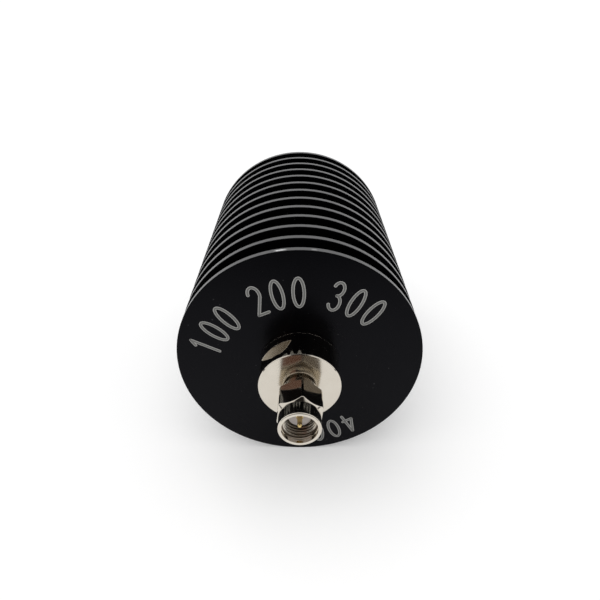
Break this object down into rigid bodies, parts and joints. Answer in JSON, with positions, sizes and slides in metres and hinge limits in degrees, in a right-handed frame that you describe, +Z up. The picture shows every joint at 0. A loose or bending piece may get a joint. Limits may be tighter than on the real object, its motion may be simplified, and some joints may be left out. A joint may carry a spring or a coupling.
{
  "type": "rf attenuator",
  "caption": "Round finned heat-sink attenuator for a coaxial line, with a screw-on plug and hexagon coupling nut at the front and a threaded jack at the rear.",
  "frame": {"origin": "centre of the plug's mating plane, on the axis", "axes": "+Y along the axis from the plug to the jack, +Z up, +X to the right seen from the plug's end"},
  "size_m": [0.05, 0.1016, 0.05],
  "materials": {
    "black_anodised": "satin black anodised, rims turned bare",
    "nickel_plate": "bright nickel plate on turned brass",
    "gilt_contact": "gold plate",
    "insulator_white": "waxy fluoropolymer",
    "spring_bronze": "bare spring bronze",
    "gasket_rubber": "soft silicone",
    "copper_block": "milled copper",
    "bare_aluminium": "milled",
    "screw_steel": "plain",
    "white_ceramic": "fired ceramic"
  },
  "bodies": {
    "attenuator": {"heat_sink": "black_anodised", "core_housing": "nickel_plate", "plug_body": "nickel_plate", "nut_snap_ring": "spring_bronze", "nut_gasket": "gasket_rubber", "plug_insulator": "insulator_white", "plug_pin": "gilt_contact", "jack_body": "nickel_plate", "jack_insulator": "insulator_white", "jack_socket": "gilt_contact", "chip_carrier": "copper_block", "cavity_cover": "bare_aluminium", "cover_screws": "screw_steel", "attenuator_chip": "white_ceramic", "chip_lid": "white_ceramic", "input_lead": "gilt_contact", "output_lead": "gilt_contact"},
    "nut": {"coupling_nut": "nickel_plate"}
  },
  "joints": [
    {"name": "coupling_nut_spin", "type": "hinge", "parent": "attenuator", "child": "nut", "pos_m": [0, 0.002, 0], "axis": [0, 1, 0], "continuous": true}
  ]
}
